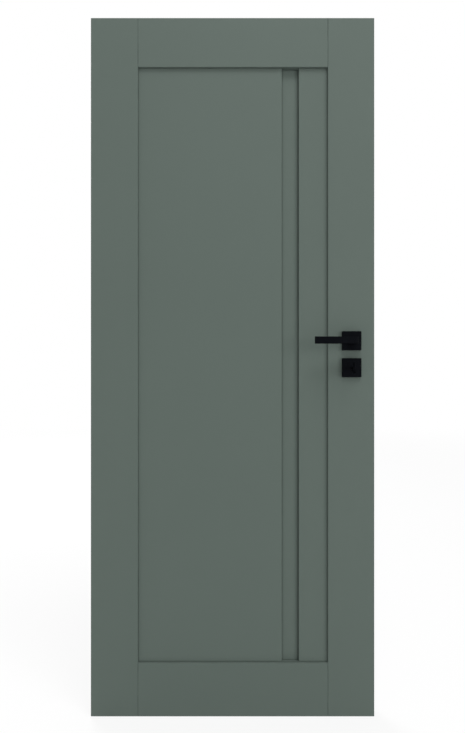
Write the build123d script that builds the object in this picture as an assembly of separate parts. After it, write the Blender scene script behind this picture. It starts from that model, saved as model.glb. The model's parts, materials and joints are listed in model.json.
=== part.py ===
from build123d import *
import math
import os

# Interior door leaf of stile-and-rail construction, with its mortise lock, lever handles and hinge halves.
# Frame: X to the right with the hinges at -X and the lock at +X, the shown face at -Y, Z up.
# The origin is the centre of the leaf's bottom edge. Millimetres.

# Leaf
leaf_width = 824.0
leaf_height = 2030.0
leaf_thick = 40.0
hinge_stile_width = 137.0
lock_stile_width = 135.0
top_rail_height = 143.0
bottom_rail_height = 156.0
panel_thick = 26.0
channel_width = 49.0
narrow_panel_width = 84.0
outer_radius = 1.5
arris = 0.8

# Ploughed grooves and the tongues that sit in them
groove_width = 8.0
groove_depth = 12.0
channel_groove_depth = 10.0
tongue_slack = 0.1
tongue_end_gap = 1.0

# Glued tenons that hold the rails to the stiles
tenon_thick = 14.0
tenon_length = 62.0
tenon_shoulder = 24.0
tenon_end_gap = 1.0

# Lift-off hinge halves
hinge_from_top = 241.0
hinge_spacing = 1435.0
hinge_axis_gap = 1.5
knuckle_radius = 7.0
knuckle_length = 38.0
pin_bore_radius = 4.0
pin_bore_depth = 36.0
flap_height = 80.0
flap_reach = 30.0
flap_thick = 2.5
flap_corner = 6.0
flap_slack = 0.1
hinge_screw_spread = 27.0
hinge_screw_outer_y = -2.0
hinge_screw_middle_y = 9.0

# Countersunk wood screws
wood_screw_length = 30.0
wood_screw_radius = 1.9
wood_screw_head = 3.9
screw_slack = 0.05

# Mortise lock
backset = 67.0
spindle_height = 1091.5
key_drop = 78.0
case_thick = 16.0
case_wall = 1.5
case_behind_spindle = 33.0
case_above_spindle = 52.0
case_slack = 0.2
post_radius = 3.5
post_inset = 10.5
cover_screw_radius = 1.5
cover_screw_length = 7.0
cover_screw_head = 2.6
guide_post_radius = 2.7
forend_width = 20.0
forend_length = 210.0
forend_past_case = 22.5
forend_thick = 3.0
forend_slack = 0.1
forend_screw_inset = 11.0
bolt_window_gap = 0.4

# Follower
follower_hub_radius = 9.9
follower_flange_radius = 12.5
follower_play = 0.1
follower_side_gap = 0.2
follower_arm_reach = 15.0
follower_arm_tip = 2.75
follower_arm_thick = 5.0
lever_swing = 40.0

# Latch tongue
latch_height = 26.0
latch_thick = 12.0
latch_depth = 28.0
latch_above_spindle = 1.0
latch_throw = 10.0
latch_recess = 0.3
latch_nose = 1.5
tail_thick = 5.0
tail_height = 6.0
tail_hook_width = 4.5
tail_hook_drop = 9.0
tail_clearance = 0.8
magnet_radius = 4.0
magnet_length = 20.0
magnet_skin = 1.5
magnet_height = 10.0
magnet_slack = 0.05

# Hairpin springs of flat strip
spring_opening = 14.0
spring_strip = 0.6
spring_width = 5.0
spring_leg = 9.0
spring_seat_gap = 0.05
spring_lug = 3.0

# Deadbolt and the key that throws it
deadbolt_height = 32.0
deadbolt_thick = 11.0
deadbolt_depth = 24.0
deadbolt_below_key = 2.0
deadbolt_throw = 14.0
deadbolt_tail_height = 12.0
deadbolt_tail_length = 66.0
deadbolt_tail_thick = 6.0
key_bit_reach = 10.5
key_bit_width = 10.0
key_bit_thick = 3.0
key_bit_entry = 3.5
key_ward_depth = 3.5
key_ward_width = 1.5
key_ward_offset = 2.5
key_notch_width = 16.0
key_notch_gap = 0.5
key_shaft_radius = 3.0
key_play = 0.1
key_tip_past_case = 1.0
key_collar_radius = 4.2
key_collar_length = 2.5
key_bow_start = 28.0
key_bow_length = 27.0
key_bow_height = 34.0
key_bow_rim = 6.0
key_bow_thick = 3.0
key_neck_depth = 3.0
key_slot_gap = 0.3

# Lever handles
lever_length = 113.0
lever_past_axis = 10.5
lever_height = 20.0
lever_arm_thick = 10.0
lever_front = 55.0
lever_bend_radius = 9.0
lever_inner_radius = 4.0
lever_edge = 0.8
lever_rose_gap = 0.3
spigot_radius = 8.92
spigot_play = 0.08
spigot_end_gap = 0.6
spindle_side = 8.0
spindle_slack = 0.1
spindle_bite = 34.0
spindle_end_gap = 1.5
grub_radius = 2.5
grub_slack = 0.05
grub_length = 5.0
grub_from_rose = 11.0
grub_key_side = 2.5
grub_key_depth = 2.2

# Roses
rose_size = 55.0
rose_depth = 9.0
rose_wall = 1.6
rose_face = 1.8
rose_corner = 1.2
rose_edge = 0.7
rose_base_thick = 5.0
rose_base_slack = 0.1
rose_hole_gap = 0.5
bush_wall = 3.0
bush_slack = 0.05
bolt_offset = 19.0
bolt_radius = 1.95
bolt_slack = 0.15
bolt_case_gap = 0.6
bolt_end_gap = 1.0
bolt_thread_slack = 0.05
bolt_head_radius = 3.6
bolt_head_height = 2.0
sleeve_radius = 3.4
sleeve_length = 8.0
sleeve_slack = 0.15
spindle_hole_radius = 8.5
key_slot_width = 12.0
key_slot_height = 34.0
key_slot_below = 5.0

# Worked out from the sizes above
face = leaf_thick / 2
hinge_edge = -leaf_width / 2
lock_edge = leaf_width / 2
opening_left = hinge_edge + hinge_stile_width
opening_right = lock_edge - lock_stile_width
opening_bottom = bottom_rail_height
opening_top = leaf_height - top_rail_height
channel_right = opening_right - narrow_panel_width
channel_left = channel_right - channel_width
tongue_thick = groove_width - 2 * tongue_slack
tongue_length = groove_depth - tongue_end_gap
channel_tongue = channel_groove_depth - tongue_end_gap

spindle_x = lock_edge - backset
key_height = spindle_height - key_drop
case_front = lock_edge - forend_thick
case_rear = spindle_x - case_behind_spindle
case_top = spindle_height + case_above_spindle
forend_top = case_top + forend_past_case
forend_bottom = forend_top - forend_length
forend_middle = (forend_top + forend_bottom) / 2
case_bottom = forend_bottom + forend_past_case
case_half = case_thick / 2
case_inner_half = case_half - case_wall

latch_bottom = spindle_height + latch_above_spindle
latch_top = latch_bottom + latch_height
latch_tip = lock_edge - latch_recess
latch_back = latch_tip - latch_depth
tail_bottom = latch_top - tail_height
arm_sweep = follower_arm_reach * math.sin(math.radians(lever_swing)) + follower_arm_tip
hook_front = spindle_x - arm_sweep - latch_throw - tail_clearance
latch_lug_front = latch_back - spring_opening - 2 * spring_seat_gap

deadbolt_bottom = key_height - deadbolt_below_key
deadbolt_tip = lock_edge - latch_recess
deadbolt_back = deadbolt_tip - deadbolt_depth
deadbolt_tail_bottom = key_height + key_bit_reach - key_bit_entry
deadbolt_tail_middle = deadbolt_tail_bottom + deadbolt_tail_height / 2

knuckle_x = hinge_edge - hinge_axis_gap
knuckle_y = face + knuckle_radius
hinge_heights = (leaf_height - hinge_from_top, leaf_height - hinge_from_top - hinge_spacing)

rose_front = face + rose_depth
lever_plane = face + lever_front
rose_base_size = rose_size - 2 * rose_wall - 2 * rose_base_slack
bush_bore = spigot_radius + spigot_play


def block(x0, x1, y0, y1, z0, z1):
    # A box given by its corners
    return Pos((x0 + x1) / 2, (y0 + y1) / 2, (z0 + z1) / 2) * Box(x1 - x0, y1 - y0, z1 - z0)


def rod_x(radius, x0, x1, y, z):
    return Pos((x0 + x1) / 2, y, z) * Rot(0, 90, 0) * Cylinder(radius, x1 - x0)


def rod_y(radius, y0, y1, x, z):
    return Pos(x, (y0 + y1) / 2, z) * Rot(90, 0, 0) * Cylinder(radius, y1 - y0)


def rod_z(radius, z0, z1, x, y):
    return Pos(x, y, (z0 + z1) / 2) * Cylinder(radius, z1 - z0)


def along_y(face_xz, y0, y1):
    # Extrudes a face drawn with x to the right and z up, from y0 to y1
    drawing = Plane(origin=(0, y1, 0), x_dir=(1, 0, 0), z_dir=(0, -1, 0))
    return extrude(drawing * face_xz, amount=y1 - y0)


def polygon(points):
    return make_face(Polyline(*points, close=True))


def bevel_along(axis, start, end, first, second, size):
    # A square bar set on its corner, which cuts a bevel along one arris
    side = size * math.sqrt(2)
    middle = (start + end) / 2
    length = end - start
    if axis == "x":
        return Pos(middle, first, second) * Rot(45, 0, 0) * Box(length, side, side)
    return Pos(first, second, middle) * Rot(0, 0, 45) * Box(side, side, length)


def to_back(shape):
    return mirror(shape, about=Plane.XZ)


# Leaf


def stile(width):
    # Stands with its outer edge at x = 0 and its ploughed inner edge at x = width
    half_groove = groove_width / 2
    outline = polygon([
        (0, -face),
        (width - arris, -face),
        (width, -face + arris),
        (width, -half_groove),
        (width - groove_depth, -half_groove),
        (width - groove_depth, half_groove),
        (width, half_groove),
        (width, face - arris),
        (width - arris, face),
        (0, face),
    ])
    outline = fillet(outline.vertices().group_by(Axis.X)[0], outer_radius)
    body = extrude(outline, amount=leaf_height)
    for y in (-face, face):
        for z in (0, leaf_height):
            body -= bevel_along("x", 0, width, y, z, arris)
    return body


def rail(bottom, top, groove_at_top):
    # Square shoulders, haunches that fill the stile grooves, and a long tenon at each end
    body = block(opening_left, opening_right, -face, face, bottom, top)
    half_groove = groove_width / 2
    if groove_at_top:
        groove = (top - groove_depth, top)
        haunch = (bottom, top - groove_depth)
    else:
        groove = (bottom, bottom + groove_depth)
        haunch = (bottom + groove_depth, top)
    body -= block(opening_left, opening_right, -half_groove, half_groove, *groove)
    for y in (-face, face):
        for z in (bottom, top):
            body -= bevel_along("x", opening_left, opening_right, y, z, arris)
        for x in (opening_left, opening_right):
            body -= bevel_along("z", bottom, top, x, y, arris)
    haunch_from = opening_left - tongue_length
    haunch_to = opening_right + tongue_length
    body += block(haunch_from, opening_left, -tongue_thick / 2, tongue_thick / 2, *haunch)
    body += block(opening_right, haunch_to, -tongue_thick / 2, tongue_thick / 2, *haunch)
    for long_tenon in tenons(bottom, top):
        body += long_tenon
    return body


def tenons(bottom, top, slack=0, end_gap=0):
    # The two long tenons of one rail, or with slack and an end gap the mortises for them
    half = tenon_thick / 2 + slack
    low = bottom + tenon_shoulder - slack
    high = top - tenon_shoulder + slack
    reach = tenon_length + end_gap
    return (
        block(opening_left - reach, opening_left, -half, half, low, high),
        block(opening_right, opening_right + reach, -half, half, low, high),
    )


def mortises(side):
    # side 0 is the hinge stile, 1 the lock stile
    top_mortise = tenons(opening_top, leaf_height, tongue_slack, tenon_end_gap)[side]
    return top_mortise + tenons(0, bottom_rail_height, tongue_slack, tenon_end_gap)[side]


def hinge_screw_places():
    places = []
    for z in hinge_heights:
        places.append((z - hinge_screw_spread, hinge_screw_outer_y))
        places.append((z, hinge_screw_middle_y))
        places.append((z + hinge_screw_spread, hinge_screw_outer_y))
    return places


def hinge_flap(z, slack):
    # Flat plate let into the hinge edge, with round corners towards the shown face
    height = flap_height + 2 * slack
    front = face - flap_reach - slack
    outline = Pos((front + face) / 2, z) * Rectangle(face - front, height)
    outline = fillet(outline.vertices().group_by(Axis.X)[0], flap_corner)
    plane = Plane(origin=(hinge_edge, 0, 0), x_dir=(0, 1, 0), z_dir=(1, 0, 0))
    return extrude(plane * outline, amount=flap_thick)


def hinge_stile():
    body = Pos(hinge_edge, 0, 0) * stile(hinge_stile_width)
    body -= mortises(0)
    for z in hinge_heights:
        body -= hinge_flap(z, flap_slack)
    for z, y in hinge_screw_places():
        body -= wood_screw(hinge_edge, y, z, 1, screw_slack)
    return body


def lock_stile():
    body = Pos(lock_edge, 0, 0) * mirror(stile(lock_stile_width), about=Plane.YZ)
    body -= mortises(1)
    pocket_half = case_half + case_slack
    pocket_rear = case_rear - case_slack
    pocket_low = case_bottom - case_slack
    pocket_high = case_top + case_slack
    body -= block(pocket_rear, lock_edge, -pocket_half, pocket_half, pocket_low, pocket_high)
    body -= forend_blank(forend_slack)
    for z in forend_screw_heights():
        body -= wood_screw(lock_edge, 0, z, -1, screw_slack)
    body -= rod_y(spindle_hole_radius, -face, face, spindle_x, spindle_height)
    body -= along_y(key_slot_outline(), -face, face)
    for x, z in bolt_places():
        body -= rod_y(sleeve_radius + sleeve_slack, -face, face, x, z)
    return body


def key_slot_outline():
    # Round-ended slot in the wood for the key
    slot = Rot(0, 0, 90) * SlotOverall(key_slot_height, key_slot_width)
    return Pos(spindle_x, key_height - key_slot_below) * slot


def wide_panel():
    half_tongue = tongue_thick / 2
    low = opening_bottom - tongue_length
    high = opening_top + tongue_length
    body = block(opening_left, channel_left, -panel_thick / 2, panel_thick / 2, opening_bottom, opening_top)
    for y in (-panel_thick / 2, panel_thick / 2):
        body -= bevel_along("z", opening_bottom, opening_top, channel_left, y, arris)
    body += block(opening_left - tongue_length, channel_left, -half_tongue, half_tongue, low, high)
    groove_floor = channel_left - channel_groove_depth
    return body - block(groove_floor, channel_left, -groove_width / 2, groove_width / 2, low, high)


def narrow_panel():
    half_tongue = tongue_thick / 2
    low = opening_bottom - tongue_length
    high = opening_top + tongue_length
    body = block(channel_right, opening_right, -panel_thick / 2, panel_thick / 2, opening_bottom, opening_top)
    for y in (-panel_thick / 2, panel_thick / 2):
        body -= bevel_along("z", opening_bottom, opening_top, channel_right, y, arris)
    body += block(channel_right, opening_right + tongue_length, -half_tongue, half_tongue, low, high)
    groove_floor = channel_right + channel_groove_depth
    return body - block(channel_right, groove_floor, -groove_width / 2, groove_width / 2, low, high)


def channel_board():
    half_tongue = tongue_thick / 2
    left = channel_left - channel_tongue
    right = channel_right + channel_tongue
    low = opening_bottom - tongue_length
    high = opening_top + tongue_length
    return block(left, right, -half_tongue, half_tongue, low, high)


# Screws and springs


def screw_shape(head, radius, length):
    # Flat head's top at z = 0, shank down
    outline = polygon([
        (0, 0),
        (head, 0),
        (radius, radius - head),
        (radius, -length),
        (0, -length),
    ])
    return revolve(Plane.XZ * outline, Axis.Z)


def wood_screw(x, y, z, into, slack=0):
    # Driven along x, into = 1 for +X and -1 for -X. With slack it is the hole for the screw.
    screw = screw_shape(wood_screw_head + slack, wood_screw_radius + slack, wood_screw_length + slack)
    return Pos(x, y, z) * Rot(0, -90 * into, 0) * screw


def hairpin_spring(left, bend, tip):
    # A bent strip: two legs from the bend's height to the tips' height, and a half circle beyond the bend
    half = spring_opening / 2
    middle = left + half

    def blank(width):
        legs = Pos(middle, (bend + tip) / 2) * Rectangle(2 * width, abs(tip - bend))
        return legs + Pos(middle, bend) * Circle(width)

    return along_y(blank(half) - blank(half - spring_strip), -spring_width / 2, spring_width / 2)


# Hinges


def hinge_plate(z):
    # Leaf half of a lift-off hinge: the knuckle sits over the frame half's pin, and opens downwards
    body = hinge_flap(z, 0)
    web_end = knuckle_y - (knuckle_radius + pin_bore_radius) / 2
    body += block(hinge_edge, hinge_edge + flap_thick, face, web_end, z, z + knuckle_length)
    barrel = rod_z(knuckle_radius, z, z + knuckle_length, knuckle_x, knuckle_y)
    body += chamfer(barrel.faces().sort_by(Axis.Z)[-1].edges(), arris)
    body -= rod_z(pin_bore_radius, z, z + pin_bore_depth, knuckle_x, knuckle_y)
    for screw_z, y in hinge_screw_places():
        if abs(screw_z - z) < flap_height / 2:
            body -= wood_screw(hinge_edge, y, screw_z, 1, screw_slack)
    return body


def hinge_screws():
    return Compound(children=[wood_screw(hinge_edge, y, z, 1) for z, y in hinge_screw_places()])


# Lock


def forend_screw_heights():
    return (forend_bottom + forend_screw_inset, forend_top - forend_screw_inset)


def forend_blank(slack):
    plate = Rot(0, 0, 90) * SlotOverall(forend_length + 2 * slack, forend_width + 2 * slack)
    plane = Plane(origin=(case_front, 0, forend_middle), x_dir=(0, 1, 0), z_dir=(1, 0, 0))
    return extrude(plane * plate, amount=forend_thick)


def bolt_windows():
    # Openings for the latch and the deadbolt in the forend and in the tray's front wall
    rear = case_front - case_wall
    windows = Part()
    for low, height, thick in (
        (latch_bottom, latch_height, latch_thick),
        (deadbolt_bottom, deadbolt_height, deadbolt_thick),
    ):
        half = thick / 2 + bolt_window_gap
        bottom = low - bolt_window_gap
        top = low + height + bolt_window_gap
        windows += block(rear, lock_edge, -half, half, bottom, top)
    return windows


def forend():
    body = forend_blank(0) - bolt_windows()
    for z in forend_screw_heights():
        body -= wood_screw(lock_edge, 0, z, -1, screw_slack)
    return body


def forend_screws():
    return Compound(children=[wood_screw(lock_edge, 0, z, -1) for z in forend_screw_heights()])


def post_places():
    # Posts in two opposite corners that the cover is screwed to
    return (
        (case_rear + post_inset, case_bottom + post_inset),
        (case_front - post_inset, case_top - post_inset),
    )


def bolt_places():
    return [
        (spindle_x + side * bolt_offset, height)
        for height in (spindle_height, key_height)
        for side in (-1, 1)
    ]


def keyhole_outline(round_gap, slot_gap):
    # Round hole for the shaft with a slot below it for the bit
    slot_half = key_bit_thick / 2 + slot_gap
    slot = Pos(0, -(key_bit_reach + slot_gap) / 2) * Rectangle(2 * slot_half, key_bit_reach + slot_gap)
    outline = Circle(key_shaft_radius + round_gap) + slot
    return Pos(spindle_x, key_height) * outline


def case_plate_holes(y0, y1):
    holes = rod_y(follower_hub_radius + follower_play, y0, y1, spindle_x, spindle_height)
    holes += along_y(keyhole_outline(key_play, key_slot_gap), y0, y1)
    for x, z in bolt_places():
        holes += rod_y(bolt_radius + bolt_case_gap, y0, y1, x, z)
    return holes


def lock_case():
    # Pressed tray with posts for the cover, and a guide post and lugs for the moving pieces
    body = block(case_rear, case_front, -case_inner_half, case_half, case_bottom, case_top)
    inner = block(
        case_rear + case_wall,
        case_front - case_wall,
        -case_inner_half,
        case_inner_half,
        case_bottom + case_wall,
        case_top - case_wall,
    )
    body -= inner
    body -= bolt_windows()
    body -= case_plate_holes(case_inner_half, case_half)
    for x, z in post_places():
        body += rod_y(post_radius, -case_inner_half, case_inner_half, x, z)
        body -= rod_y(cover_screw_radius + screw_slack, -case_inner_half, 0, x, z)
    guide_x = deadbolt_guide_x()
    body += rod_y(guide_post_radius, -case_inner_half, case_inner_half, guide_x, deadbolt_tail_middle)
    for x, z in case_lugs():
        body += block(x, x + spring_lug, -case_inner_half, case_inner_half, z, z + 2 * spring_lug)
    return body


def case_lugs():
    # Left and lower edge of the lugs: under the latch tail, and behind the two springs
    return (
        (spindle_x + bolt_offset, tail_bottom - 2 * spring_lug - follower_side_gap),
        (latch_back, latch_top + 2 * follower_side_gap),
        (follower_spring_left() + spring_opening + spring_seat_gap, follower_spring_tip() - 2 * spring_lug),
    )


def follower_spring_left():
    return spindle_x + follower_arm_tip + spring_seat_gap


def follower_spring_tip():
    return spindle_height - follower_arm_reach + follower_arm_tip


def lock_cover():
    y0 = -case_half
    y1 = -case_inner_half
    body = block(case_rear, case_front, y0, y1, case_bottom, case_top)
    body -= case_plate_holes(y0, y1)
    for x, z in post_places():
        body -= cover_screw(x, z, screw_slack)
    return body


def cover_screw(x, z, slack=0):
    # Countersunk machine screw, its head flush with the cover
    screw = screw_shape(cover_screw_head + slack, cover_screw_radius + slack, cover_screw_length)
    return Pos(x, -case_half, z) * Rot(90, 0, 0) * screw


def lock_cover_screws():
    return Compound(children=[cover_screw(x, z) for x, z in post_places()])


def follower():
    # Hub carried in both case plates, a flange between them, an arm for the latch and one for the spring
    hub_half = case_half - follower_side_gap
    flange_half = case_inner_half - follower_side_gap
    body = rod_y(follower_hub_radius, -hub_half, hub_half, spindle_x, spindle_height)
    body += rod_y(follower_flange_radius, -flange_half, -tail_thick, spindle_x, spindle_height)
    body += rod_y(follower_flange_radius, tail_thick, flange_half, spindle_x, spindle_height)
    for side in (-1, 1):
        tip_z = spindle_height + side * follower_arm_reach
        half = follower_arm_thick / 2
        body += rod_y(follower_arm_tip, -half, half, spindle_x, tip_z)
        low, high = sorted((spindle_height, tip_z))
        body += block(spindle_x - follower_arm_tip, spindle_x + follower_arm_tip, -half, half, low, high)
    socket = spindle_side / 2 + spindle_slack
    hole = block(
        spindle_x - socket,
        spindle_x + socket,
        -hub_half,
        hub_half,
        spindle_height - socket,
        spindle_height + socket,
    )
    return body - hole


def follower_spring():
    tip = follower_spring_tip()
    return hairpin_spring(follower_spring_left(), tip - spring_leg, tip)


def latch_bolt():
    # Moulded tongue with a flat tail, whose hook the follower's arm pulls
    half = latch_thick / 2
    nose = polygon([
        (latch_back, -half),
        (latch_tip - latch_nose, -half),
        (latch_tip, -half + latch_nose),
        (latch_tip, half - latch_nose),
        (latch_tip - latch_nose, half),
        (latch_back, half),
    ])
    body = extrude(Pos(0, 0, latch_bottom) * nose, amount=latch_height)
    tail_half = tail_thick / 2
    hook_back = hook_front - tail_hook_width
    body += block(hook_back, latch_back, -tail_half, tail_half, tail_bottom, latch_top)
    body += block(hook_back, hook_front, -tail_half, tail_half, tail_bottom - tail_hook_drop, tail_bottom)
    lug_back = latch_lug_front - tail_hook_width
    lug_top = latch_top + spring_leg
    body += block(lug_back, latch_lug_front, -tail_half, tail_half, latch_top, lug_top)
    magnet_front = latch_tip - magnet_skin
    bore = rod_x(magnet_radius + magnet_slack, latch_back, magnet_front, 0, latch_bottom + magnet_height)
    return body - bore


def latch_magnet():
    magnet_front = latch_tip - magnet_skin
    back = magnet_front - magnet_length
    return rod_x(magnet_radius, back, magnet_front, 0, latch_bottom + magnet_height)


def latch_spring():
    tip = latch_top + 2 * follower_side_gap
    return hairpin_spring(latch_lug_front + spring_seat_gap, tip + spring_leg, tip)


def deadbolt_guide_x():
    return deadbolt_back - 2 * guide_post_radius - deadbolt_throw / 2


def deadbolt():
    # Solid head, and a flat tail with a notch for the key's bit and a slot for its guide post
    half = deadbolt_thick / 2
    top = deadbolt_bottom + deadbolt_height
    body = block(deadbolt_back, deadbolt_tip, -half, half, deadbolt_bottom, top)
    body = chamfer(body.edges().filter_by(Axis.Z).group_by(Axis.X)[-1], arris)
    tail_half = deadbolt_tail_thick / 2
    tail_back = deadbolt_back - deadbolt_tail_length
    tail_top = deadbolt_tail_bottom + deadbolt_tail_height
    body += block(tail_back, deadbolt_back, -tail_half, tail_half, deadbolt_tail_bottom, tail_top)
    notch_middle = spindle_x - deadbolt_throw / 2
    notch_left = notch_middle - key_notch_width / 2
    notch_right = notch_middle + key_notch_width / 2
    notch_top = deadbolt_tail_bottom + key_bit_entry + key_notch_gap
    body -= block(notch_left, notch_right, -tail_half, tail_half, deadbolt_tail_bottom, notch_top)
    slot_half = guide_post_radius + follower_side_gap
    slot_back = deadbolt_guide_x() - deadbolt_throw
    slot_front = deadbolt_guide_x()
    low = deadbolt_tail_middle - slot_half
    high = deadbolt_tail_middle + slot_half
    body -= block(slot_back, slot_front, -tail_half, tail_half, low, high)
    for x in (slot_back, slot_front):
        body -= rod_y(slot_half, -tail_half, tail_half, x, deadbolt_tail_middle)
    return body


def key():
    # Warded key: oval bow seen edge-on, collar, shaft and a bit that points down at rest
    tip = case_half + key_tip_past_case
    collar_end = -face - key_bow_start
    body = rod_y(key_shaft_radius, collar_end, tip, spindle_x, key_height)
    body += rod_y(key_collar_radius, collar_end, collar_end + key_collar_length, spindle_x, key_height)
    bow_middle = collar_end - key_bow_length / 2
    bow = Ellipse(key_bow_length / 2, key_bow_height / 2)
    eye = Ellipse(key_bow_length / 2 - key_bow_rim, key_bow_height / 2 - key_bow_rim)
    bow_left = spindle_x - key_bow_thick / 2
    plane = Plane(origin=(bow_left, bow_middle, key_height), x_dir=(0, 1, 0), z_dir=(1, 0, 0))
    ring = extrude(plane * (bow - eye), amount=key_bow_thick)
    neck = block(
        bow_left,
        bow_left + key_bow_thick,
        collar_end - key_neck_depth,
        collar_end,
        key_height - key_shaft_radius,
        key_height + key_shaft_radius,
    )
    body += ring + neck
    bit_half = key_bit_thick / 2
    bit = block(
        spindle_x - bit_half,
        spindle_x + bit_half,
        -key_bit_width / 2,
        key_bit_width / 2,
        key_height - key_bit_reach,
        key_height,
    )
    for y in (-key_ward_offset, key_ward_offset):
        bit -= block(
            spindle_x - bit_half,
            spindle_x + bit_half,
            y - key_ward_width / 2,
            y + key_ward_width / 2,
            key_height - key_bit_reach,
            key_height - key_bit_reach + key_ward_depth,
        )
    return body + bit


# Handle set


def lever():
    # Front lever: flat arm, a bend of square section, the neck and the round spigot that turns in the bush
    left = spindle_x - lever_length
    right = spindle_x + lever_past_axis
    neck_left = spindle_x - lever_past_axis
    inner = -lever_plane + lever_arm_thick
    root = -rose_front - lever_rose_gap
    outline = polygon([
        (left, -lever_plane),
        (right, -lever_plane),
        (right, root),
        (neck_left, root),
        (neck_left, inner),
        (left, inner),
    ])
    corners = outline.vertices()
    outer_corner = corners.sort_by_distance((right, -lever_plane, 0))[0]
    outline = fillet(outer_corner, lever_bend_radius)
    inner_corner = outline.vertices().sort_by_distance((neck_left, inner, 0))[0]
    outline = fillet(inner_corner, lever_inner_radius)
    base = spindle_height - lever_height / 2
    body = extrude(Pos(0, 0, base) * outline, amount=lever_height)
    rim = [edge for edge in body.edges() if edge.center().Y < root - lever_edge]
    body = chamfer(rim, lever_edge)
    spigot_end = -face - spigot_end_gap
    body += rod_y(spigot_radius, root, spigot_end, spindle_x, spindle_height)
    socket = spindle_side / 2 + spindle_slack
    body -= block(
        spindle_x - socket,
        spindle_x + socket,
        -face - spindle_bite,
        spigot_end,
        spindle_height - socket,
        spindle_height + socket,
    )
    grub_y = -rose_front - grub_from_rose
    return body - rod_z(grub_radius + grub_slack, base, spindle_height, spindle_x, grub_y)


def spindle():
    half = spindle_side / 2
    end = face + spindle_bite - spindle_end_gap
    bar = block(
        spindle_x - half,
        spindle_x + half,
        -end,
        end,
        spindle_height - half,
        spindle_height + half,
    )
    ends = bar.edges().group_by(Axis.Y)
    return chamfer(list(ends[0]) + list(ends[-1]), arris)


def lever_grub_screws():
    # Socket screws that come up through the necks and bear on the spindle
    top = spindle_height - spindle_side / 2
    screws = []
    for side in (-1, 1):
        y = side * (rose_front + grub_from_rose)
        screw = rod_z(grub_radius, top - grub_length, top, spindle_x, y)
        drive = RegularPolygon(grub_key_side / 2, 6, major_radius=False)
        recess = extrude(Pos(spindle_x, y, top - grub_length) * drive, amount=grub_key_depth)
        screws.append(screw - recess)
    return Compound(children=screws)


def lever_bush():
    # Plastic ring in the rose base that the spigot turns in
    outer_end = -face - rose_base_thick
    inner_end = -face - spigot_end_gap
    body = rod_y(bush_bore + bush_wall, outer_end, inner_end, spindle_x, spindle_height)
    return body - rod_y(bush_bore, outer_end, inner_end, spindle_x, spindle_height)


def rose_base(height, opening, sleeves):
    # Square plate on the front face. The front one has threaded sleeves that reach into the wood.
    outline = Rectangle(rose_base_size, rose_base_size)
    base_front = -face - rose_base_thick
    body = along_y(Pos(spindle_x, height) * outline, base_front, -face)
    body -= opening
    for side in (-1, 1):
        x = spindle_x + side * bolt_offset
        if sleeves:
            body += rod_y(sleeve_radius, -face, -face + sleeve_length, x, height)
            hole = bolt_radius + bolt_thread_slack
        else:
            hole = bolt_radius + bolt_slack
        body -= rod_y(hole, base_front, -face + sleeve_length, x, height)
    return body


def rose_cover(height, opening):
    # Square shell that snaps over the base and rests on the leaf's face
    outline = RectangleRounded(rose_size, rose_size, rose_corner)
    body = along_y(Pos(spindle_x, height) * outline, -rose_front, -face)
    rim = body.edges().group_by(Axis.Y)[0]
    body = chamfer(rim, rose_edge)
    inside = rose_size - 2 * rose_wall
    hollow = Rectangle(inside, inside)
    body -= along_y(Pos(spindle_x, height) * hollow, -rose_front + rose_face, -face)
    return body - opening


def bush_opening():
    radius = bush_bore + bush_wall + bush_slack
    return rod_y(radius, -face - rose_base_thick, -face, spindle_x, spindle_height)


def spigot_opening():
    return rod_y(spigot_radius + rose_hole_gap, -rose_front, -face, spindle_x, spindle_height)


def key_base_opening():
    return along_y(key_slot_outline(), -face - rose_base_thick, -face)


def keyhole_opening():
    return along_y(keyhole_outline(key_slot_gap, key_slot_gap), -rose_front, -face)


def through_bolts(height):
    # Pass from the back rose through the lock case into the front rose's sleeves
    head_start = face + rose_base_thick
    bolts = []
    for side in (-1, 1):
        x = spindle_x + side * bolt_offset
        bolt = rod_y(bolt_radius, -head_start + bolt_end_gap, head_start, x, height)
        bolt += rod_y(bolt_head_radius, head_start, head_start + bolt_head_height, x, height)
        bolts.append(bolt)
    return Compound(children=bolts)


nodes = {
    "hinge_stile": hinge_stile(),
    "lock_stile": lock_stile(),
    "top_rail": rail(opening_top, leaf_height, False),
    "bottom_rail": rail(0, bottom_rail_height, True),
    "wide_panel": wide_panel(),
    "narrow_panel": narrow_panel(),
    "channel_board": channel_board(),
    "hinge_plate_top": hinge_plate(hinge_heights[0]),
    "hinge_plate_bottom": hinge_plate(hinge_heights[1]),
    "hinge_screws": hinge_screws(),
    "forend": forend(),
    "forend_screws": forend_screws(),
    "lock_case": lock_case(),
    "lock_cover": lock_cover(),
    "lock_cover_screws": lock_cover_screws(),
    "follower": follower(),
    "follower_spring": follower_spring(),
    "latch_bolt": latch_bolt(),
    "latch_magnet": latch_magnet(),
    "latch_spring": latch_spring(),
    "deadbolt": deadbolt(),
    "key": key(),
    "lever_front": lever(),
    "lever_back": to_back(lever()),
    "spindle": spindle(),
    "lever_grub_screws": lever_grub_screws(),
    "lever_bush_front": lever_bush(),
    "lever_bush_back": to_back(lever_bush()),
    "rose_base_front": rose_base(spindle_height, bush_opening(), True),
    "rose_base_back": to_back(rose_base(spindle_height, bush_opening(), False)),
    "rose_cover_front": rose_cover(spindle_height, spigot_opening()),
    "rose_cover_back": to_back(rose_cover(spindle_height, spigot_opening())),
    "rose_bolts": through_bolts(spindle_height),
    "key_rose_base_front": rose_base(key_height, key_base_opening(), True),
    "key_rose_base_back": to_back(rose_base(key_height, key_base_opening(), False)),
    "key_rose_cover_front": rose_cover(key_height, keyhole_opening()),
    "key_rose_cover_back": to_back(rose_cover(key_height, keyhole_opening())),
    "key_rose_bolts": through_bolts(key_height),
}

os.makedirs("parts", exist_ok=True)
for name, shape in nodes.items():
    export_step(shape, "parts/" + name + ".step")
    print(name, round(shape.volume))
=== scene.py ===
import json
import math

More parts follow.
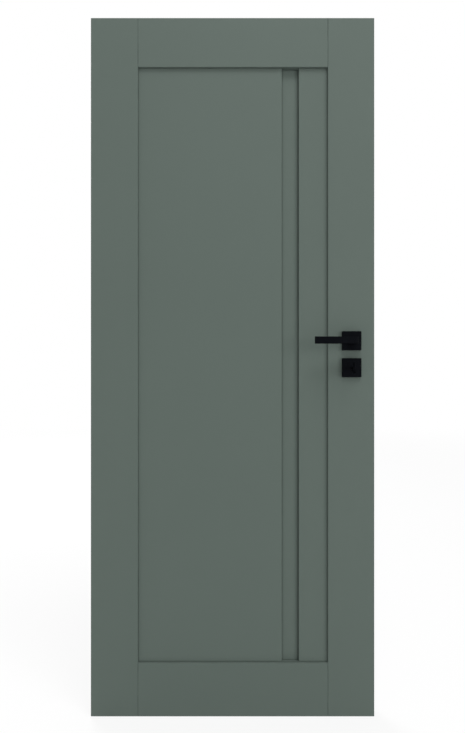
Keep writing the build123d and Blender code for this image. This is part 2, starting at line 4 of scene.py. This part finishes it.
import bmesh
import bpy
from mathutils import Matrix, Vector


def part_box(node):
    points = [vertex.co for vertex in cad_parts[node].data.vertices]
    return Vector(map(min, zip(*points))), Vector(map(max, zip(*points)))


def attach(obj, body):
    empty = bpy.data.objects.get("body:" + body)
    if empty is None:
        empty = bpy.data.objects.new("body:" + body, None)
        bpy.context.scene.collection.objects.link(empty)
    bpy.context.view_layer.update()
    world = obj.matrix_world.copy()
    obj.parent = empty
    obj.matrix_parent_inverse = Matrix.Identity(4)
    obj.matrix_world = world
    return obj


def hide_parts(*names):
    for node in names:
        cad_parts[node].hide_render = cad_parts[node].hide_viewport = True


# Interior door leaf with its lever handles, mortise lock and hinge halves.
# Metres, hinges at -X, lock at +X, the shown face towards -Y, Z up.

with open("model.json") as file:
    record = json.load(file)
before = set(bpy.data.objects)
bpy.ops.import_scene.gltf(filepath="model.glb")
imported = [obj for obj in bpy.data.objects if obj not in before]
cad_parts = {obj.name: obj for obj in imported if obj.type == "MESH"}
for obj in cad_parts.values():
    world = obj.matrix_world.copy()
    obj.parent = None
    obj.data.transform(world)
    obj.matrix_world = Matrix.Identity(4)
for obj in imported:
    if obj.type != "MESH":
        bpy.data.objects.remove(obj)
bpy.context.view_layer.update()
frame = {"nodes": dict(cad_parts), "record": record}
print("frame loaded:", len(frame["nodes"]), "pieces")


# Shader building

def addNode(tree, kind, values=None, **settings):
    node = tree.nodes.new(kind)
    for name, value in settings.items():
        setattr(node, name, value)
    for name, value in (values or {}).items():
        if isinstance(value, bpy.types.NodeSocket):
            tree.links.new(value, node.inputs[name])
        else:
            node.inputs[name].default_value = value
    return node


def startGroup(name, inputs, outputs):
    tree = bpy.data.node_groups.new(name, "ShaderNodeTree")
    for label, kind, value in inputs:
        socket = tree.interface.new_socket(label, in_out="INPUT", socket_type="NodeSocket" + kind)
        if value is not None:
            socket.default_value = value
    for label, kind in outputs:
        tree.interface.new_socket(label, in_out="OUTPUT", socket_type="NodeSocket" + kind)
    entry = tree.nodes.new("NodeGroupInput")
    ending = tree.nodes.new("NodeGroupOutput")
    return tree, entry.outputs, ending


def makeFineGrain():
    # The pebbled skin of a pressed laminate, a powder coat or a moulding
    tree, given, ending = startGroup(
        "fineGrain",
        [("Vector", "Vector", None), ("Scale", "Float", 900.0), ("Coarse Share", "Float", 0.35)],
        [("Height", "Float"), ("Speckle", "Float")],
    )
    fine = addNode(tree, "ShaderNodeTexNoise", {
        "Vector": given["Vector"], "Scale": given["Scale"], "Detail": 2.0, "Roughness": 0.55,
    })
    coarser = 0.21  # the coarse grain's scale against the fine one's
    coarseScale = addNode(tree, "ShaderNodeMath", {0: given["Scale"], 1: coarser}, operation="MULTIPLY")
    coarse = addNode(tree, "ShaderNodeTexNoise", {
        "Vector": given["Vector"], "Scale": coarseScale.outputs[0], "Detail": 3.0, "Roughness": 0.6,
    })
    height = addNode(tree, "ShaderNodeMix", {
        "Factor": given["Coarse Share"], 2: fine.outputs["Fac"], 3: coarse.outputs["Fac"],
    })
    speckle = addNode(tree, "ShaderNodeMapRange", {
        "Value": fine.outputs["Fac"], "From Min": 0.35, "From Max": 0.65,
    })
    tree.links.new(height.outputs[0], ending.inputs["Height"])
    tree.links.new(speckle.outputs[0], ending.inputs["Speckle"])
    return tree


def makeSoftMottle():
    # A slow drift of lightness over a surface, as from pressing, coating or handling
    tree, given, ending = startGroup(
        "softMottle",
        [
            ("Vector", "Vector", None),
            ("Color", "Color", None),
            ("Scale", "Float", 3.0),
            ("Amount", "Float", 0.03),
        ],
        [("Color", "Color")],
    )
    cloud = addNode(tree, "ShaderNodeTexNoise", {
        "Vector": given["Vector"], "Scale": given["Scale"], "Detail": 4.0, "Roughness": 0.5,
    })
    low = addNode(tree, "ShaderNodeMath", {0: 1.0, 1: given["Amount"]}, operation="SUBTRACT")
    high = addNode(tree, "ShaderNodeMath", {0: 1.0, 1: given["Amount"]}, operation="ADD")
    drift = addNode(tree, "ShaderNodeMapRange", {
        "Value": cloud.outputs["Fac"],
        "From Min": 0.3,
        "From Max": 0.7,
        "To Min": low.outputs[0],
        "To Max": high.outputs[0],
    })
    tinted = addNode(tree, "ShaderNodeVectorMath", {
        0: given["Color"], "Scale": drift.outputs[0],
    }, operation="SCALE")
    tree.links.new(tinted.outputs[0], ending.inputs["Color"])
    return tree


def makeBrushedLines():
    # Fine parallel lines from grinding or rolling. Stretch is small along the lines.
    tree, given, ending = startGroup(
        "brushedLines",
        [
            ("Vector", "Vector", None),
            ("Stretch", "Vector", (1.0, 1.0, 0.03)),
            ("Scale", "Float", 1400.0),
        ],
        [("Height", "Float"), ("Shade", "Float")],
    )
    drawn = addNode(tree, "ShaderNodeVectorMath", {
        0: given["Vector"], 1: given["Stretch"],
    }, operation="MULTIPLY")
    lines = addNode(tree, "ShaderNodeTexNoise", {
        "Vector": drawn.outputs[0], "Scale": given["Scale"], "Detail": 3.0, "Roughness": 0.65,
    })
    shade = addNode(tree, "ShaderNodeMapRange", {
        "Value": lines.outputs["Fac"], "From Min": 0.3, "From Max": 0.7,
    })
    tree.links.new(lines.outputs["Fac"], ending.inputs["Height"])
    tree.links.new(shade.outputs[0], ending.inputs["Shade"])
    return tree


def makeBevelWearAndShade():
    # Masks the narrow bevels between the main faces, broken up by a soft noise: worn edges on the
    #  steels and plastics, painted shade on the laminate and the black metal. A face counts as
    #  square to an axis down to squareFace, and as wholly bevel from bevelFace.
    squareFace = 0.97
    bevelFace = 0.75
    tree, given, ending = startGroup(
        "bevelWearAndShade",
        [("Vector", "Vector", None), ("Normal", "Vector", None), ("Scale", "Float", 40.0)],
        [("Mask", "Float")],
    )
    facing = addNode(tree, "ShaderNodeVectorMath", {0: given["Normal"]}, operation="ABSOLUTE")
    split = addNode(tree, "ShaderNodeSeparateXYZ", {0: facing.outputs[0]})
    widest = addNode(tree, "ShaderNodeMath", {
        0: split.outputs[0], 1: split.outputs[1],
    }, operation="MAXIMUM")
    largest = addNode(tree, "ShaderNodeMath", {
        0: widest.outputs[0], 1: split.outputs[2],
    }, operation="MAXIMUM")
    bevel = addNode(tree, "ShaderNodeMapRange", {
        "Value": largest.outputs[0], "From Min": squareFace, "From Max": bevelFace,
    })
    patches = addNode(tree, "ShaderNodeTexNoise", {
        "Vector": given["Vector"], "Scale": given["Scale"], "Detail": 5.0, "Roughness": 0.6,
    })
    broken = addNode(tree, "ShaderNodeMapRange", {
        "Value": patches.outputs["Fac"], "From Min": 0.38, "From Max": 0.62, "To Min": 0.25,
    })
    mask = addNode(tree, "ShaderNodeMath", {
        0: bevel.outputs[0], 1: broken.outputs[0],
    }, operation="MULTIPLY")
    tree.links.new(mask.outputs[0], ending.inputs["Mask"])
    return tree


fineGrain = makeFineGrain()
softMottle = makeSoftMottle()
brushedLines = makeBrushedLines()
bevelWearAndShade = makeBevelWearAndShade()


def startMaterial(name):
    material = bpy.data.materials.new(name)
    material.use_nodes = True
    tree = material.node_tree
    tree.nodes.clear()
    place = addNode(tree, "ShaderNodeTexCoord")
    surface = addNode(tree, "ShaderNodeBsdfPrincipled")
    addNode(tree, "ShaderNodeOutputMaterial", {"Surface": surface.outputs[0]})
    return material, tree, place.outputs, surface


def addGroup(tree, group, values):
    return addNode(tree, "ShaderNodeGroup", values, node_tree=group)


# How wide the painted shade in each recess corner is, as a share of the laminate's width for it
paintedShadeReach = {
    "hingeStile": 1.5, "lockStile": 0.4, "topRail": 0.6, "bottomRail": 1.5,
    "channelSide": 3.0, "channelEnd": 1.5,
}


def recessCorners(reach):
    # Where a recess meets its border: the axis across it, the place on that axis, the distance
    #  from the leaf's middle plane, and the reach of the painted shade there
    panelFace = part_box("wide_panel")[1][1]
    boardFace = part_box("channel_board")[1][1]
    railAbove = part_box("top_rail")[0][2]
    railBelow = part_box("bottom_rail")[1][2]
    return [
        (0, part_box("hinge_stile")[1][0], panelFace, reach["hingeStile"]),
        (0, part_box("lock_stile")[0][0], panelFace, reach["lockStile"]),
        (0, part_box("wide_panel")[1][0], boardFace, reach["channelSide"]),
        (0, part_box("narrow_panel")[0][0], boardFace, reach["channelSide"]),
        (2, railAbove, panelFace, reach["topRail"]),
        (2, railBelow, panelFace, reach["bottomRail"]),
        (2, railAbove, boardFace, reach["channelEnd"]),
        (2, railBelow, boardFace, reach["channelEnd"]),
    ]


def makePaintedCornerShade(corners):
    # Painted shade: masks a band along each recess corner where the panels and the channel board meet
    # the frame, darkest in the corner, where shade falls
    tree, given, ending = startGroup(
        "paintedCornerShade",
        [("Vector", "Vector", None), ("Width", "Float", 0.001)],
        [("Mask", "Float")],
    )
    place = addNode(tree, "ShaderNodeSeparateXYZ", {0: given["Vector"]})
    fromMiddle = addNode(tree, "ShaderNodeMath", {0: place.outputs[1]}, operation="ABSOLUTE")
    darkest = None
    for axis, along, depth, reach in corners:
        here = addNode(tree, "ShaderNodeCombineXYZ", {0: place.outputs[axis], 1: fromMiddle.outputs[0]})
        away = addNode(tree, "ShaderNodeVectorMath", {
            0: here.outputs[0], 1: (along, depth, 0.0),
        }, operation="DISTANCE")
        width = addNode(tree, "ShaderNodeMath", {0: given["Width"], 1: reach}, operation="MULTIPLY")
        shade = addNode(tree, "ShaderNodeMapRange", {
            "Value": away.outputs["Value"], "From Max": width.outputs[0], "To Min": 1.0, "To Max": 0.0,
        })
        if darkest:
            shade = addNode(tree, "ShaderNodeMath", {
                0: darkest.outputs[0], 1: shade.outputs[0],
            }, operation="MAXIMUM")
        darkest = shade
    tree.links.new(darkest.outputs[0], ending.inputs["Mask"])
    return tree


paintedCornerShade = makePaintedCornerShade(recessCorners(paintedShadeReach))


def blended(tree, factor, share, first, second):
    # Mixes the second colour into the first by a mask and a share of it
    part = addNode(tree, "ShaderNodeMath", {0: factor, 1: share}, operation="MULTIPLY")
    mix = addNode(tree, "ShaderNodeMix", {
        "Factor": part.outputs[0], 6: first, 7: second,
    }, data_type="RGBA")
    return mix.outputs[2]


laminateLook = {
    "colour": (0.112, 0.1413, 0.125, 1.0),
    # The bevels and outer arrises darken towards edgeColour as painted shade
    "edgeColour": (0.045, 0.058, 0.051, 1.0),
    "edgeShare": 0.7,
    "edgeScale": 25.0,
    # Painted shade along the recess corners: its colour, its share and its width in metres
    "paintedShadeColour": (0.02, 0.026, 0.023, 1.0),
    "paintedShadeShare": 0.5,
    "paintedShadeWidth": 0.0016,
    "mottleScale": 2.2,
    "mottleAmount": 0.012,
    "grainScale": 1500.0,
    "grainCoarse": 0.3,
    "grainDepth": 0.00003,
    "grainStrength": 0.35,
    "roughest": 0.62,
    "smoothest": 0.5,
    "shine": 0.1,
}

blackLook = {
    "colour": (0.0036, 0.0042, 0.0056, 1.0),
    # The bends and bevels darken towards edgeColour as painted shade, dimming their reflection
    "edgeColour": (0.001, 0.001, 0.0015, 1.0),
    "edgeShare": 0.8,
    "edgeScale": 180.0,
    "mottleScale": 30.0,
    "mottleAmount": 0.08,
    "grainScale": 2600.0,
    "grainCoarse": 0.45,
    "grainDepth": 0.00003,
    "grainStrength": 0.4,
    "roughest": 0.74,
    "smoothest": 0.6,
    "shine": 0.02,
}

nylonLook = {
    "colour": (0.024, 0.024, 0.026, 1.0),
    "edgeColour": (0.05, 0.05, 0.053, 1.0),
    "edgeShare": 0.3,
    "edgeScale": 180.0,
    "mottleScale": 60.0,
    "mottleAmount": 0.06,
    "grainScale": 1500.0,
    "grainCoarse": 0.45,
    "grainDepth": 0.00002,
    "grainStrength": 0.3,
    "roughest": 0.55,
    "smoothest": 0.4,
    "shine": 0.4,
}

tongueLook = {
    "colour": (0.014, 0.014, 0.016, 1.0),
    "edgeColour": (0.06, 0.06, 0.064, 1.0),
    "edgeShare": 0.4,
    "edgeScale": 180.0,
    "mottleScale": 80.0,
    "mottleAmount": 0.05,
    "grainScale": 2000.0,
    "grainCoarse": 0.45,
    "grainDepth": 0.00001,
    "grainStrength": 0.25,
    "roughest": 0.42,
    "smoothest": 0.3,
    "shine": 0.5,
}


def makeCoated(name, look):
    # Laminate, powder coat or moulded plastic: a pebbled skin whose bevels take edgeColour, as painted
    # shade on the laminate and the black metal and as wear on the plastics
    material, tree, place, surface = startMaterial(name)
    mottle = addGroup(tree, softMottle, {
        "Vector": place["Object"],
        "Color": look["colour"],
        "Scale": look["mottleScale"],
        "Amount": look["mottleAmount"],
    })
    grain = addGroup(tree, fineGrain, {
        "Vector": place["Object"], "Scale": look["grainScale"], "Coarse Share": look["grainCoarse"],
    })
    bevelTone = addGroup(tree, bevelWearAndShade, {
        "Vector": place["Object"], "Normal": place["Normal"], "Scale": look["edgeScale"],
    })
    colour = mottle.outputs["Color"]
    # The bevels take edgeColour: painted shade on the laminate and the black metal, wear on the
    # plastics
    colour = blended(tree, bevelTone.outputs["Mask"], look["edgeShare"], colour, look["edgeColour"])
    # Painted shade darkens the colour along the recess corners
    if "paintedShadeShare" in look:
        cornerShadeMask = addGroup(tree, paintedCornerShade, {"Vector": place["Object"], "Width": look["paintedShadeWidth"]})
        colour = blended(tree, cornerShadeMask.outputs["Mask"], look["paintedShadeShare"], colour, look["paintedShadeColour"])
    roughness = addNode(tree, "ShaderNodeMapRange", {
        "Value": grain.outputs["Speckle"], "To Min": look["smoothest"], "To Max": look["roughest"],
    })
    bump = addNode(tree, "ShaderNodeBump", {
        "Height": grain.outputs["Height"],
        "Strength": look["grainStrength"],
        "Distance": look["grainDepth"],
    })
    surface.inputs["Specular IOR Level"].default_value = look["shine"]
    tree.links.new(colour, surface.inputs["Base Color"])
    tree.links.new(roughness.outputs[0], surface.inputs["Roughness"])
    tree.links.new(bump.outputs[0], surface.inputs["Normal"])
    return material


steelLooks = {
    "hinge_steel": {
        "colour": (0.54, 0.54, 0.53, 1.0), "lines": (1.0, 1.0, 0.04), "scale": 1500.0,
        "smoothest": 0.26, "roughest": 0.4, "depth": 0.00001, "mottle": 0.05,
    },
    "lock_steel": {
        "colour": (0.5, 0.5, 0.5, 1.0), "lines": (1.0, 1.0, 0.03), "scale": 1300.0,
        "smoothest": 0.3, "roughest": 0.44, "depth": 0.00001, "mottle": 0.06,
    },
    "case_steel": {
        "colour": (0.09, 0.09, 0.095, 1.0), "lines": (1.0, 1.0, 0.2), "scale": 900.0,
        "smoothest": 0.5, "roughest": 0.62, "depth": 0.00001, "mottle": 0.08,
    },
    "bolt_metal": {
        "colour": (0.47, 0.47, 0.47, 1.0), "lines": (0.04, 1.0, 1.0), "scale": 1200.0,
        "smoothest": 0.24, "roughest": 0.38, "depth": 0.00001, "mottle": 0.04,
    },
    "spring_steel": {
        "colour": (0.3, 0.31, 0.33, 1.0), "lines": (1.0, 1.0, 0.2), "scale": 2500.0,
        "smoothest": 0.22, "roughest": 0.36, "depth": 0.000005, "mottle": 0.05,
    },
    "magnet": {
        "colour": (0.6, 0.6, 0.61, 1.0), "lines": (1.0, 0.3, 0.3), "scale": 2000.0,
        "smoothest": 0.16, "roughest": 0.26, "depth": 0.000004, "mottle": 0.03,
    },
    "screw_steel": {
        "colour": (0.4, 0.4, 0.41, 1.0), "lines": (0.6, 1.0, 1.0), "scale": 2200.0,
        "smoothest": 0.28, "roughest": 0.42, "depth": 0.000006, "mottle": 0.08,
    },
}


# What all the steels share
steelSurface = {"mottleScale": 35.0, "edgeScale": 120.0, "wornBrighter": 1.35, "lineStrength": 0.3}


def makeSteel(name, look, common):
    # Bare or plated steel with its rolling or grinding lines, and brighter worn edges
    material, tree, place, surface = startMaterial(name)
    mottle = addGroup(tree, softMottle, {
        "Vector": place["Object"],
        "Color": look["colour"],
        "Scale": common["mottleScale"],
        "Amount": look["mottle"],
    })
    lines = addGroup(tree, brushedLines, {
        "Vector": place["Object"], "Stretch": look["lines"], "Scale": look["scale"],
    })
    bevelTone = addGroup(tree, bevelWearAndShade, {
        "Vector": place["Object"], "Normal": place["Normal"], "Scale": common["edgeScale"],
    })
    bright = [min(1.0, channel * common["wornBrighter"]) for channel in look["colour"][:3]] + [1.0]
    colour = addNode(tree, "ShaderNodeMix", {
        "Factor": bevelTone.outputs["Mask"], 6: mottle.outputs["Color"], 7: bright,
    }, data_type="RGBA")
    roughness = addNode(tree, "ShaderNodeMapRange", {
        "Value": lines.outputs["Shade"], "To Min": look["smoothest"], "To Max": look["roughest"],
    })
    bump = addNode(tree, "ShaderNodeBump", {
        "Height": lines.outputs["Height"],
        "Strength": common["lineStrength"],
        "Distance": look["depth"],
    })
    surface.inputs["Metallic"].default_value = 1.0
    tree.links.new(colour.outputs[2], surface.inputs["Base Color"])
    tree.links.new(roughness.outputs[0], surface.inputs["Roughness"])
    tree.links.new(bump.outputs[0], surface.inputs["Normal"])
    return material


finishes = {
    "laminate": makeCoated("laminate", laminateLook),
    "black_metal": makeCoated("blackMetal", blackLook),
    "nylon": makeCoated("nylon", nylonLook),
    "latch_plastic": makeCoated("latchPlastic", tongueLook),
}
for slotName, look in steelLooks.items():
    finishes[slotName] = makeSteel(slotName, look, steelSurface)
print("materials made:", len(finishes))


def dress(piece, finish):
    if not piece.material_slots:
        piece.data.materials.append(finish)
    for held in piece.material_slots:
        held.material = finish


slotOf = {part["node"]: part["material_slot"] for part in frame["record"]["subparts"]}

# The lock's case is duller than its forend, as raw sheet steel is
ownFinish = {"lock_case": "case_steel", "lock_cover": "case_steel"}
for nodeName, node in frame["nodes"].items():
    dress(node, finishes[ownFinish.get(nodeName, slotOf[nodeName])])
print("pieces dressed:", len(slotOf))


# Screws

def loosePlaces(nodeName):
    # Lowest and highest corner of each separate solid of a node
    sameVertex = 0.00001
    found = bmesh.new()
    found.from_mesh(frame["nodes"][nodeName].data)
    bmesh.ops.remove_doubles(found, verts=found.verts, dist=sameVertex)
    places = []
    waiting = set(found.verts)
    while waiting:
        island = {waiting.pop()}
        unvisited = list(island)
        while unvisited:
            for edge in unvisited.pop().link_edges:
                for vertex in edge.verts:
                    if vertex in waiting:
                        waiting.remove(vertex)
                        island.add(vertex)
                        unvisited.append(vertex)
        corners = [vertex.co for vertex in island]
        low = Vector(min(c[i] for c in corners) for i in range(3))
        high = Vector(max(c[i] for c in corners) for i in range(3))
        places.append((low, high))
    found.free()
    return sorted(places, key=lambda place: tuple(place[0]))


def crossOutline(reach, half, depth):
    # Twelve corners of a plus sign, anticlockwise
    outline = []
    for quarter in range(4):
        turn = quarter * math.pi / 2
        for x, y in ((half, -half), (reach, -half), (reach, half)):
            outline.append((
                x * math.cos(turn) - y * math.sin(turn),
                x * math.sin(turn) + y * math.cos(turn),
                -depth,
            ))
    return outline


def ringOf(radii, depth):
    # A ring of points at a depth, with its radius given all the way round
    ring = []
    for side, radius in enumerate(radii):
        angle = 2 * math.pi * side / len(radii)
        ring.append((radius * math.cos(angle), radius * math.sin(angle), -depth))
    return ring


def threadRings(look, start, length):
    # Rings down the thread, whose ridge winds round the root and fades out at the tip
    sides = look["sides"]
    shank = look["shank"]
    root = shank * look["root"]
    pitch = look["pitch"] * shank
    blunt = look["tipRadius"]
    rows = int((length - start) / pitch * look["rowsPerTurn"])
    rings = []
    for row in range(1, rows + 1):
        depth = start + (length - start) * row / rows
        fade = min(1.0, (length - depth) / (look["tip"] * length))
        radii = []
        for side in range(sides):
            turn = (depth / pitch - side / sides) % 1.0
            ridge = max(0.0, 1.0 - abs(turn - 0.5) / look["ridgeWidth"])
            radii.append((root + (shank - root) * ridge) * (blunt + (1.0 - blunt) * fade))
        rings.append(ringOf(radii, depth))
    return rings


def screwSolid(look, length, headRadius):
    # Head's top at z = 0 and the tip down, as a flat-headed screw with a cross recess
    sides = look["sides"]
    shank = look["shank"]
    solid = bmesh.new()

    def addLoop(points):
        return [solid.verts.new(point) for point in points]

    def joinLoops(upper, lower):
        for i in range(len(upper)):
            j = (i + 1) % len(upper)
            solid.faces.new((upper[i], lower[i], lower[j], upper[j]))

    rim = look["rim"] * headRadius
    coneDepth = headRadius - shank
    threadStart = coneDepth + look["plainNeck"] * length
    rings = [
        ringOf([headRadius - rim] * sides, 0.0),
        ringOf([headRadius] * sides, rim),
        ringOf([shank] * sides, coneDepth),
        ringOf([shank] * sides, threadStart),
    ]
    rings += threadRings(look, threadStart, length)
    loops = [addLoop(ring) for ring in rings]
    for upper, lower in zip(loops, loops[1:]):
        joinLoops(upper, lower)
    solid.faces.new(loops[-1])
    reach = look["crossReach"] * headRadius
    half = look["crossHalf"] * headRadius
    crossTop = addLoop(crossOutline(reach, half, 0.0))
    floorReach = look["crossFloorReach"] * headRadius
    floorHalf = look["crossFloorHalf"] * headRadius
    crossFloor = addLoop(crossOutline(floorReach, floorHalf, look["crossDepth"] * headRadius))
    edges = []
    for loop in (loops[0], crossTop):
        for i, vertex in enumerate(loop):
            other = loop[(i + 1) % len(loop)]
            edges.append(solid.edges.get((vertex, other)) or solid.edges.new((vertex, other)))
    bmesh.ops.triangle_fill(solid, use_beauty=True, use_dissolve=False, edges=edges)
    joinLoops(crossTop, crossFloor)
    solid.faces.new(crossFloor)
    bmesh.ops.recalc_face_normals(solid, faces=solid.faces)
    return solid


# Lengths are shares of the screw's own length, head or shank. The shank itself is its radius in
# metres, and smoothAngle is in degrees.
woodScrewLook = {
    "shank": 0.0019, "sides": 24, "rim": 0.05, "plainNeck": 0.12, "root": 0.68, "tip": 0.16,
    "tipRadius": 0.12, "pitch": 0.95, "rowsPerTurn": 6, "ridgeWidth": 0.34, "crossReach": 0.56,
    "crossHalf": 0.11, "crossDepth": 0.42, "crossFloorReach": 0.235, "crossFloorHalf": 0.0825,
    "smoothAngle": 35.0,
}
machineScrewLook = dict(
    woodScrewLook, shank=0.0015, plainNeck=0.02, root=0.78, tip=0.06, pitch=0.42, ridgeWidth=0.5,
)


def fitScrews(nodeName, look, outward, slotName):
    # One detailed screw on the axis of each plain one, pointing outward with its head
    outward = Vector(outward)
    along = max(range(3), key=lambda i: abs(outward[i]))
    turned = outward.to_track_quat("Z", "Y").to_matrix().to_4x4()
    for number, (low, high) in enumerate(loosePlaces(nodeName), start=1):
        length = high[along] - low[along]
        across = [high[i] - low[i] for i in range(3) if i != along]
        solid = screwSolid(look, length, max(across) / 2)
        bmesh.ops.transform(solid, matrix=turned, verts=solid.verts)
        head = (low + high) / 2
        head[along] = high[along] if outward[along] > 0 else low[along]
        bmesh.ops.translate(solid, vec=head, verts=solid.verts)
        mesh = bpy.data.meshes.new(nodeName + "Mesh")
        solid.to_mesh(mesh)
        solid.free()
        mesh.shade_smooth()
        mesh.set_sharp_from_angle(angle=math.radians(look["smoothAngle"]))
        piece = bpy.data.objects.new(f"{nodeName}_{number}", mesh)
        bpy.context.scene.collection.objects.link(piece)
        dress(piece, finishes[slotName])
        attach(piece, "leaf")
        if number == 1:
            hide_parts(nodeName)


fitScrews("hinge_screws", woodScrewLook, (-1, 0, 0), "hinge_steel")
fitScrews("forend_screws", woodScrewLook, (1, 0, 0), "lock_steel")
fitScrews("lock_cover_screws", machineScrewLook, (0, -1, 0), "lock_steel")
print("screws fitted")


# Floor, light and camera

def seenDirectly(tree):
    # 1 for what the camera sees, straight on or in a gloss or a glass
    path = addNode(tree, "ShaderNodeLightPath")
    gloss = addNode(tree, "ShaderNodeMath", {
        0: path.outputs["Is Camera Ray"], 1: path.outputs["Is Glossy Ray"],
    }, operation="MAXIMUM")
    either = addNode(tree, "ShaderNodeMath", {
        0: gloss.outputs[0], 1: path.outputs["Is Transmission Ray"],
    }, operation="MAXIMUM")
    return either.outputs[0]


# Lit as pale paper. Seen directly it glows nearly white, takes the leaf's shadow, and fades to plain
# white between fadeStart and fadeEnd. Lengths in metres, the two fades from the leaf's middle.
floorLook = {
    "half": 9.0,
    "drop": 0.0006,
    "colour": (0.8, 0.8, 0.8, 1.0),
    "white": (1.0, 1.0, 1.0, 1.0),
    "shownGlow": 0.82,
    "shownColour": (0.16, 0.16, 0.16, 1.0),
    "fadeStart": 2.2,
    "fadeEnd": 8.5,
}


def layFloor(look):
    half = look["half"]
    level = -look["drop"]
    mesh = bpy.data.meshes.new("floorMesh")
    corners = [(x * half, y * half, level) for x, y in ((-1, -1), (1, -1), (1, 1), (-1, 1))]
    mesh.from_pydata(corners, [], [(0, 1, 2, 3)])
    floor = bpy.data.objects.new("floor", mesh)
    bpy.context.scene.collection.objects.link(floor)
    material = bpy.data.materials.new("palePaper")
    material.use_nodes = True
    tree = material.node_tree
    tree.nodes.clear()
    lit = addNode(tree, "ShaderNodeBsdfDiffuse", {"Color": look["colour"]})
    shaded = addNode(tree, "ShaderNodeBsdfDiffuse", {"Color": look["shownColour"]})
    glow = addNode(tree, "ShaderNodeEmission", {"Color": look["white"], "Strength": look["shownGlow"]})
    near = addNode(tree, "ShaderNodeAddShader", {0: shaded.outputs[0], 1: glow.outputs[0]})
    far = addNode(tree, "ShaderNodeEmission", {"Color": look["white"], "Strength": 1.0})
    place = addNode(tree, "ShaderNodeTexCoord")
    away = addNode(tree, "ShaderNodeVectorMath", {0: place.outputs["Object"]}, operation="LENGTH")
    fade = addNode(tree, "ShaderNodeMapRange", {
        "Value": away.outputs["Value"], "From Min": look["fadeStart"], "From Max": look["fadeEnd"],
    }, interpolation_type="SMOOTHSTEP")
    shown = addNode(tree, "ShaderNodeMixShader", {
        0: fade.outputs[0], 1: near.outputs[0], 2: far.outputs[0],
    })
    mixed = addNode(tree, "ShaderNodeMixShader", {
        0: seenDirectly(tree), 1: lit.outputs[0], 2: shown.outputs[0],
    })
    addNode(tree, "ShaderNodeOutputMaterial", {"Surface": mixed.outputs[0]})
    mesh.materials.append(material)


# Soft light from all round, with the lamps aimed at the leaf's middle. Metres and watts.
lightLook = {
    "ambient": 0.46,
    "white": (1.0, 1.0, 1.0, 1.0),
    "aim": (0.0, 0.0, 1.0),
    "lamps": {
        "topSoftbox": {"place": (1.0, -2.6, 6.6), "wide": 3.0, "tall": 2.4, "power": 200.0},
        "sideSoftbox": {"place": (5.8, -4.5, 2.0), "wide": 3.0, "tall": 3.0, "power": 172.0},
        "backSoftbox": {"place": (-3.2, 5.4, 4.2), "wide": 3.6, "tall": 3.2, "power": 270.0},
    },
}


def lightStudio(look):
    world = bpy.data.worlds.new("studio")
    bpy.context.scene.world = world
    world.use_nodes = True
    tree = world.node_tree
    tree.nodes.clear()
    fill = addNode(tree, "ShaderNodeBackground", {"Color": look["white"], "Strength": look["ambient"]})
    backdrop = addNode(tree, "ShaderNodeBackground", {"Color": look["white"], "Strength": 1.0})
    mixed = addNode(tree, "ShaderNodeMixShader", {
        0: seenDirectly(tree), 1: fill.outputs[0], 2: backdrop.outputs[0],
    })
    addNode(tree, "ShaderNodeOutputWorld", {"Surface": mixed.outputs[0]})
    for lampName, box in look["lamps"].items():
        lamp = bpy.data.lights.new(lampName, "AREA")
        lamp.shape = "RECTANGLE"
        lamp.size = box["wide"]
        lamp.size_y = box["tall"]
        lamp.energy = box["power"]
        softbox = bpy.data.objects.new(lampName, lamp)
        bpy.context.scene.collection.objects.link(softbox)
        softbox.location = box["place"]
        towards = Vector(look["aim"]) - Vector(box["place"])
        softbox.rotation_mode = "QUATERNION"
        softbox.rotation_quaternion = towards.to_track_quat("-Z", "Y")


# Level and square on to the leaf, as the photo was taken; lens and sensor in millimetres
cameraLook = {
    "place": (-0.00025, -1.595, 1.017),
    "lens": 26.62,
    "sensor": 36.0,
    "nearest": 0.05,
    "farthest": 60.0,
}


def setCamera(look):
    data = bpy.data.cameras.new("photoCamera")
    data.lens = look["lens"]
    data.sensor_width = look["sensor"]
    data.sensor_fit = "AUTO"
    data.clip_start = look["nearest"]
    data.clip_end = look["farthest"]
    camera = bpy.data.objects.new("photoCamera", data)
    bpy.context.scene.collection.objects.link(camera)
    camera.location = look["place"]
    camera.rotation_euler = (math.pi / 2, 0.0, 0.0)  # looks along +Y
    bpy.context.scene.camera = camera


layFloor(floorLook)
lightStudio(lightLook)
setCamera(cameraLook)
bpy.context.scene.view_settings.view_transform = "Standard"
print("studio set")
